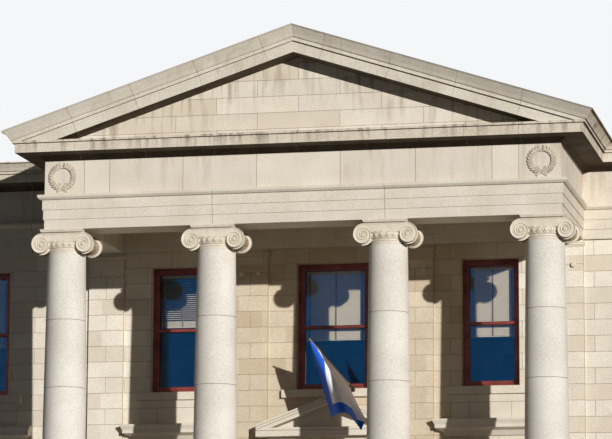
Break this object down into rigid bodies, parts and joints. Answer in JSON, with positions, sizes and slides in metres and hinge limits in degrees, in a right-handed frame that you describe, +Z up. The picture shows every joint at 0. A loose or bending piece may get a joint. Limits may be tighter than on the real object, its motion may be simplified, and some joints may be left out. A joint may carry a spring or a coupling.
{
  "type": "town hall building",
  "caption": "Two-storey classical town hall: stone block with an Ionic column portico, pediment, entrance steps, tall sash windows and a small flag on a pole.",
  "frame": {"origin": "on the ground at the middle of the portico's front, below the frieze's face", "axes": "+X to the right along the street front, +Y back through the building, +Z up"},
  "size_m": [23.16, 24.35, 14.5771],
  "materials": {
    "wall_stone": "fine sawn cream limestone",
    "column_stone": "fine speckled pale stone",
    "inner_stone": "plain slab",
    "roof_cover": "matt grey roof covering on slab",
    "painted_joinery": "dark red-brown paint, satin",
    "glass": "clear, reads deep blue",
    "flag_cloth": "white field, blue border",
    "pole_wood": "varnished",
    "bracket_metal": "black paint"
  },
  "bodies": {
    "root": {"base_walls": "wall_stone", "column_bases": "column_stone", "column_capitals": "column_stone", "column_shafts": "column_stone", "door_frame": "painted_joinery", "door_hood": "wall_stone", "door_leaves": "painted_joinery", "door_surround": "wall_stone", "door_transom_glass": "glass", "entrance_steps": "wall_stone", "flag": "flag_cloth", "flag_bracket": "bracket_metal", "flag_pole": "pole_wood", "front_wall_left": "wall_stone", "front_wall_over_door": "wall_stone", "front_wall_right": "wall_stone", "front_window_frames": "painted_joinery", "front_window_glass": "glass", "front_window_sills": "wall_stone", "ground_floor": "inner_stone", "left_wall": "wall_stone", "main_architrave": "wall_stone", "main_cornice": "wall_stone", "main_frieze": "wall_stone", "other_window_sills": "wall_stone", "pilasters": "wall_stone", "porch_floor": "wall_stone", "porch_podium": "wall_stone", "portico_architrave": "wall_stone", "portico_ceiling": "inner_stone", "portico_cornice": "wall_stone", "portico_frieze": "wall_stone", "portico_roof_left": "roof_cover", "portico_roof_right": "roof_cover", "portico_roof_upstand": "wall_stone", "raking_cornice_left": "wall_stone", "raking_cornice_right": "wall_stone", "rear_wall": "wall_stone", "rear_window_frames": "painted_joinery", "rear_window_glass": "glass", "right_wall": "wall_stone", "roof_slab": "roof_cover", "side_window_frames": "painted_joinery", "side_window_glass": "glass", "step_cheeks": "wall_stone", "tympanum": "wall_stone", "upper_floor": "inner_stone", "window_hoods": "wall_stone"}
  },
  "joints": []
}
